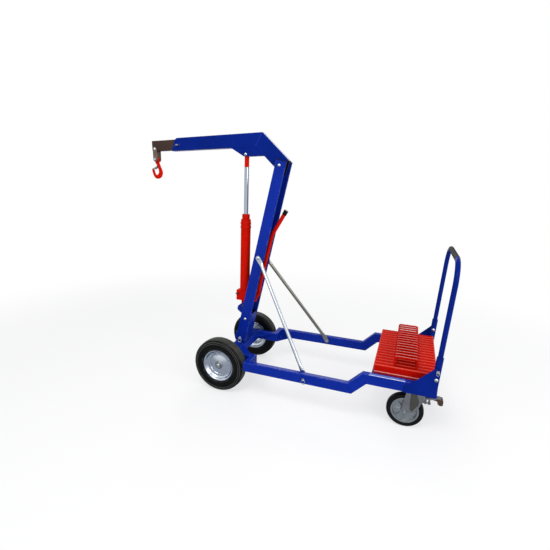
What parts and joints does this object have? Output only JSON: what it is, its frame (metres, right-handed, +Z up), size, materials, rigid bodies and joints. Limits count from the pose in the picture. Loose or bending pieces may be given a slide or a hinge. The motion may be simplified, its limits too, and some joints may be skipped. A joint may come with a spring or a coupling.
{
  "type": "mini crane",
  "caption": "Wheeled counterbalance mini crane: leaning mast, hand-pumped ram, telescopic boom with latched hook, weight stack and folding push handle.",
  "frame": {"origin": "point on the floor under the middle of the front axle", "axes": "+X rearward to the push handle, +Y to the right of the person at the handle, +Z up"},
  "size_m": [2.3049, 0.771, 1.868],
  "materials": {
    "blue_paint": "gloss",
    "red_paint": "gloss",
    "bright_steel": "polished",
    "zinc": "satin",
    "bare_steel": "mill scale",
    "dark_steel": "satin",
    "tyre_rubber": "matt",
    "caster_rubber": "matt",
    "cast_alloy": "as cast",
    "grip_rubber": "matt",
    "black_plastic": "matt",
    "weight_iron": "gloss paint"
  },
  "bodies": {
    "base": {"front_crossbeam": "blue_paint", "left_side_rail": "blue_paint", "right_side_rail": "blue_paint", "front_axle": "dark_steel", "axle_caps": "bright_steel", "mast": "blue_paint", "mast_post": "blue_paint", "mast_bolts": "bright_steel", "mast_lock_pin": "zinc", "left_tie_rod": "zinc", "right_tie_rod": "zinc", "tie_rod_fasteners": "zinc", "ram_foot_pin": "zinc", "counterweight_tray": "blue_paint", "counterweights": "weight_iron", "left_caster_plate": "dark_steel", "right_caster_plate": "dark_steel", "left_handle_bracket": "blue_paint", "right_handle_bracket": "blue_paint", "handle_lock_pins": "zinc", "handle_pivot_bolts": "bright_steel"},
    "boom": {"boom": "blue_paint", "ram_head_bolt": "bright_steel"},
    "clamp_screw": {"boom_clamp_screw": "zinc"},
    "extension": {"boom_extension": "bare_steel", "link_top_bolt": "bright_steel"},
    "link": {"link_plates": "bare_steel", "link_bottom_bolt": "zinc"},
    "hook": {"hook": "red_paint"},
    "latch": {"hook_latch": "zinc", "latch_spring": "dark_steel"},
    "ram": {"ram_barrel": "red_paint", "ram_gland": "dark_steel", "pump_block": "red_paint"},
    "rod": {"ram_rod": "bright_steel", "ram_rod_end": "red_paint"},
    "lever": {"pump_lever": "red_paint", "lever_grip": "black_plastic"},
    "plunger": {"pump_plunger": "zinc"},
    "valve": {"release_valve": "dark_steel"},
    "handle": {"push_handle": "blue_paint", "handle_grip": "grip_rubber"},
    "left_wheel": {"left_front_tyre": "tyre_rubber", "left_front_rim": "zinc", "left_front_hub": "dark_steel", "left_rim_bolts": "zinc"},
    "left_caster": {"left_caster_fork": "dark_steel", "left_caster_axle": "zinc"},
    "left_caster_wheel": {"left_caster_rim": "cast_alloy", "left_caster_tyre": "caster_rubber"},
    "left_brake": {"left_caster_brake": "bare_steel"},
    "right_wheel": {"right_front_tyre": "tyre_rubber", "right_front_rim": "zinc", "right_front_hub": "dark_steel", "right_rim_bolts": "zinc"},
    "right_caster": {"right_caster_fork": "dark_steel", "right_caster_axle": "zinc"},
    "right_caster_wheel": {"right_caster_rim": "cast_alloy", "right_caster_tyre": "caster_rubber"},
    "right_brake": {"right_caster_brake": "bare_steel"}
  },
  "joints": [
    {"name": "boom_luff", "type": "hinge", "parent": "base", "child": "boom", "pos_m": [0.34, 0, 1.642], "axis": [0, 1, 0], "range_deg": [-20, 30]},
    {"name": "ram_swing", "type": "hinge", "parent": "base", "child": "ram", "pos_m": [0.046, 0, 0.572], "axis": [0, 1, 0], "range_deg": [-2.5, 3.5]},
    {"name": "ram_stroke", "type": "slide", "parent": "ram", "child": "rod", "axis": [0.0174, 0, 0.9998], "range_m": [-0.1, 0.145]},
    {"name": "boom_extend", "type": "slide", "parent": "boom", "child": "extension", "axis": [-0.9996, 0, -0.0279], "range_m": [-0.11, 0.3]},
    {"name": "clamp_screw_turn", "type": "hinge", "parent": "boom", "child": "clamp_screw", "pos_m": [-0.50866, -0.04, 1.79579], "axis": [0, 1, 0], "range_deg": [-180, 180]},
    {"name": "link_swing", "type": "hinge", "parent": "extension", "child": "link", "pos_m": [-0.72902, 0, 1.76963], "axis": [0, 1, 0], "range_deg": [-40, 40]},
    {"name": "hook_swing", "type": "hinge", "parent": "link", "child": "hook", "pos_m": [-0.72902, 0, 1.69293], "axis": [0, 1, 0], "range_deg": [-40, 40]},
    {"name": "latch_open", "type": "hinge", "parent": "hook", "child": "latch", "pos_m": [-0.71802, 0, 1.63893], "axis": [0, -1, 0], "range_deg": [0, 40], "stiffness_Nm_per_rad": 0.06, "springref_deg": -34.38},
    {"name": "pump_stroke", "type": "hinge", "parent": "ram", "child": "lever", "pos_m": [0.16579, 0, 0.67393], "axis": [0, 1, 0], "range_deg": [0, 60]},
    {"name": "plunger_slide", "type": "slide", "parent": "ram", "child": "plunger", "axis": [0.0174, 0, 0.9998], "range_m": [0, 0.031]},
    {"name": "valve_turn", "type": "hinge", "parent": "ram", "child": "valve", "pos_m": [-0.00025, -0.04, 0.67282], "axis": [0, 1, 0], "range_deg": [-180, 180]},
    {"name": "handle_fold", "type": "hinge", "parent": "base", "child": "handle", "pos_m": [1.466, 0, 0.41], "axis": [0, 1, 0], "range_deg": [-90, 0]},
    {"name": "left_wheel_spin", "type": "hinge", "parent": "base", "child": "left_wheel", "pos_m": [0, -0.32, 0.2], "axis": [0, 1, 0], "continuous": true},
    {"name": "left_caster_swivel", "type": "hinge", "parent": "base", "child": "left_caster", "pos_m": [1.385, -0.259, 0.27], "axis": [0, 0, 1], "continuous": true},
    {"name": "left_caster_spin", "type": "hinge", "parent": "left_caster", "child": "left_caster_wheel", "pos_m": [1.315, -0.259, 0.115], "axis": [0, 1, 0], "continuous": true},
    {"name": "left_brake_press", "type": "hinge", "parent": "left_caster", "child": "left_brake", "pos_m": [1.418, -0.259, 0.222], "axis": [0, 1, 0], "range_deg": [0, 10]},
    {"name": "right_wheel_spin", "type": "hinge", "parent": "base", "child": "right_wheel", "pos_m": [0, 0.32, 0.2], "axis": [0, 1, 0], "continuous": true},
    {"name": "right_caster_swivel", "type": "hinge", "parent": "base", "child": "right_caster", "pos_m": [1.385, 0.259, 0.27], "axis": [0, 0, 1], "continuous": true},
    {"name": "right_caster_spin", "type": "hinge", "parent": "right_caster", "child": "right_caster_wheel", "pos_m": [1.315, 0.259, 0.115], "axis": [0, 1, 0], "continuous": true},
    {"name": "right_brake_press", "type": "hinge", "parent": "right_caster", "child": "right_brake", "pos_m": [1.418, 0.259, 0.222], "axis": [0, 1, 0], "range_deg": [0, 10]}
  ],
  "couplings": [
    {"joint": "ram_swing", "follows": "boom_luff", "ratio": 0.08},
    {"joint": "ram_stroke", "follows": "boom_luff", "m_per_rad": 0.2634},
    {"joint": "plunger_slide", "follows": "pump_stroke", "m_per_rad": 0.028}
  ]
}
